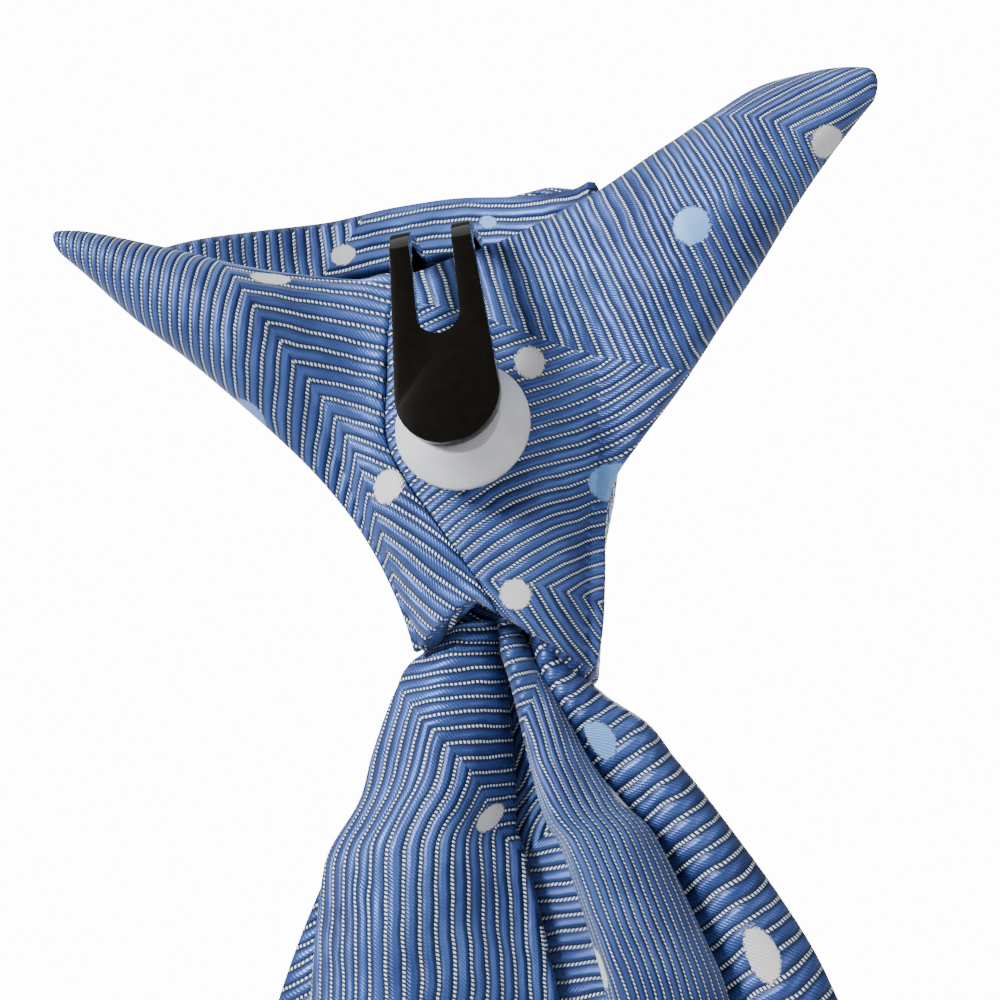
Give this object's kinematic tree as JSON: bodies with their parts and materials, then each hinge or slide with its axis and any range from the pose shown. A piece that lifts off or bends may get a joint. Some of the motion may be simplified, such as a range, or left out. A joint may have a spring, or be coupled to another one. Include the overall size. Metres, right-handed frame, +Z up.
{
  "type": "clip-on necktie",
  "caption": "Pre-tied necktie with a padded winged knot, a spring clip and grip button for a shirt collar, and two folded blades.",
  "frame": {"origin": "under the clip's hook, where the top edge of the collar band sits", "axes": "+Z up along the tie, +Y out from the wearer, towards the tie's front, +X to the wearer's left as the tie is worn"},
  "size_m": [0.1035, 0.0364, 0.4796],
  "materials": {
    "ribbed_silk": "woven ribs with white stitch lines and small dots",
    "black_lacquer": "glossy",
    "milky_plastic": "translucent, lightly scuffed"
  },
  "bodies": {
    "root": {"knot": "ribbed_silk", "left_wing": "ribbed_silk", "right_wing": "ribbed_silk", "neck_band": "ribbed_silk", "clip": "black_lacquer", "grip_button": "milky_plastic", "front_blade": "ribbed_silk", "rear_blade": "ribbed_silk"}
  },
  "joints": []
}
